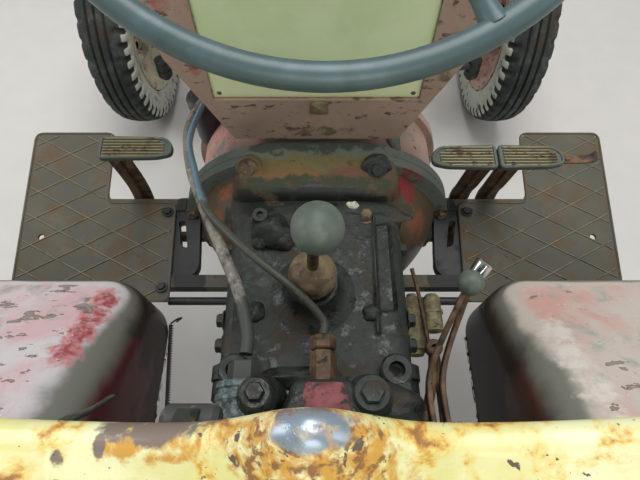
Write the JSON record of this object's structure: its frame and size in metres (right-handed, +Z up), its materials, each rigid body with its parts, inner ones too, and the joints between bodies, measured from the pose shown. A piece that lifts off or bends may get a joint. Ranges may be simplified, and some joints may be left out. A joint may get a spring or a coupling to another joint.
{
  "type": "vintage farm tractor",
  "caption": "Vintage farm tractor with pressed fenders, pan seat, open engine, steered front wheels and a rear lift linkage.",
  "frame": {"origin": "on the floor, at the centre of the tractor's box", "axes": "+Y forward, +X the tractor's right side, +Z up"},
  "size_m": [1.564, 3.1341, 1.8],
  "materials": {
    "greasy_iron": "greasy, dusty",
    "bell_iron": "rusty with old red enamel",
    "engine_enamel": "oily enamel",
    "rusty_steel": "rusted",
    "pump_alloy": "dull cast",
    "black_enamel": "worn",
    "red_enamel": "faded, chipped",
    "fender_enamel": "chalked, chipped",
    "grille_enamel": "faded",
    "dash_frame": "worn to primer",
    "dash_green": "dusty",
    "footplate_steel": "dirty, worn raised pattern",
    "pedal_iron": "worn",
    "black_plastic": "worn",
    "bright_steel": "dull",
    "pipe_steel": "oily",
    "seat_enamel": "worn through to rust",
    "wheel_plastic": "smooth",
    "tyre_rubber": "dusty",
    "rim_cream": "rust spotted",
    "rim_pink": "faded, rust spotted"
  },
  "bodies": {
    "chassis": {"rear_axle_housing": "greasy_iron", "lift_housing": "greasy_iron", "gearbox": "greasy_iron", "clutch_housing": "bell_iron", "engine_block": "engine_enamel", "cylinder_head": "engine_enamel", "exhaust": "rusty_steel", "injection_pump": "pump_alloy", "dynamo": "black_enamel", "air_cleaner": "black_enamel", "radiator": "black_enamel", "fan": "red_enamel", "front_bolster": "greasy_iron", "front_weight": "greasy_iron", "fuel_tank": "black_enamel", "bonnet": "red_enamel", "nose_cowl": "red_enamel", "grille": "grille_enamel", "headlamps": "black_enamel", "dash_cowl": "dash_frame", "dash_panel": "dash_green", "steering_column": "black_enamel", "footplates": "footplate_steel", "fender_left": "fender_enamel", "fender_right": "fender_enamel", "pedals": "pedal_iron", "brake_linkage": "black_enamel", "gear_lever": "black_plastic", "hand_levers": "bright_steel", "hydraulic_pipes": "pipe_steel", "seat_pan": "seat_enamel", "seat_mount": "greasy_iron", "front_axle_beam": "greasy_iron", "drawbar": "greasy_iron"},
    "hand_wheel": {"steering_wheel": "wheel_plastic"},
    "left_knuckle": {"knuckle_left": "greasy_iron"},
    "right_knuckle": {"knuckle_right": "greasy_iron"},
    "pitman": {"drop_arm": "greasy_iron"},
    "tie": {"tie_bar": "black_enamel"},
    "left_front_wheel": {"front_tyre_left": "tyre_rubber", "front_rim_left": "rim_cream"},
    "right_front_wheel": {"front_tyre_right": "tyre_rubber", "front_rim_right": "rim_pink"},
    "left_rear_wheel": {"rear_tyre_left": "tyre_rubber", "rear_rim_left": "rim_cream"},
    "right_rear_wheel": {"rear_tyre_right": "tyre_rubber", "rear_rim_right": "rim_cream"},
    "lift_arm_pair": {"lift_arms": "greasy_iron"},
    "lift_rod_pair": {"lift_rods": "greasy_iron"},
    "lower_link_pair": {"lower_links": "greasy_iron"}
  },
  "joints": [
    {"name": "steer_left", "type": "hinge", "parent": "chassis", "child": "left_knuckle", "pos_m": [-0.515, 1.22209, 0.335], "axis": [0, 0, 1], "range_deg": [-35, 35]},
    {"name": "steer_right", "type": "hinge", "parent": "chassis", "child": "right_knuckle", "pos_m": [0.515, 1.22209, 0.335], "axis": [0, 0, 1], "range_deg": [-35, 35]},
    {"name": "drop_arm_turn", "type": "hinge", "parent": "chassis", "child": "pitman", "pos_m": [0, 1.10209, 0.335], "axis": [0, 0, 1], "range_deg": [-35, 35]},
    {"name": "tie_bar_turn", "type": "hinge", "parent": "pitman", "child": "tie", "pos_m": [0, 0.86709, 0.335], "axis": [0, 0, 1], "range_deg": [-35, 35]},
    {"name": "hand_wheel_turn", "type": "hinge", "parent": "chassis", "child": "hand_wheel", "pos_m": [0.01, 0.13409, 1.372], "axis": [0, -0.5736, 0.8192], "range_deg": [-420, 420]},
    {"name": "front_left_roll", "type": "hinge", "parent": "left_knuckle", "child": "left_front_wheel", "pos_m": [-0.658, 1.22209, 0.335], "axis": [1, 0, 0], "continuous": true},
    {"name": "front_right_roll", "type": "hinge", "parent": "right_knuckle", "child": "right_front_wheel", "pos_m": [0.658, 1.22209, 0.335], "axis": [1, 0, 0], "continuous": true},
    {"name": "rear_left_roll", "type": "hinge", "parent": "chassis", "child": "left_rear_wheel", "pos_m": [-0.65, -0.77791, 0.56], "axis": [1, 0, 0], "continuous": true},
    {"name": "rear_right_roll", "type": "hinge", "parent": "chassis", "child": "right_rear_wheel", "pos_m": [0.65, -0.77791, 0.56], "axis": [1, 0, 0], "continuous": true},
    {"name": "link_lift", "type": "hinge", "parent": "chassis", "child": "lower_link_pair", "pos_m": [0, -0.84791, 0.4], "axis": [-1, 0, 0], "range_deg": [-12, 24]},
    {"name": "arm_lift", "type": "hinge", "parent": "chassis", "child": "lift_arm_pair", "pos_m": [0, -0.84791, 0.852], "axis": [-1, 0, 0], "range_deg": [-12, 24]},
    {"name": "rod_swing", "type": "hinge", "parent": "lift_arm_pair", "child": "lift_rod_pair", "pos_m": [0, -1.14499, 0.81025], "axis": [-1, 0, 0], "range_deg": [-24, 12]}
  ],
  "couplings": [
    {"joint": "steer_right", "follows": "steer_left", "ratio": 1},
    {"joint": "drop_arm_turn", "follows": "steer_left", "ratio": 1},
    {"joint": "tie_bar_turn", "follows": "steer_left", "ratio": -1},
    {"joint": "hand_wheel_turn", "follows": "steer_left", "ratio": 12},
    {"joint": "arm_lift", "follows": "link_lift", "ratio": 1},
    {"joint": "rod_swing", "follows": "link_lift", "ratio": -1}
  ]
}
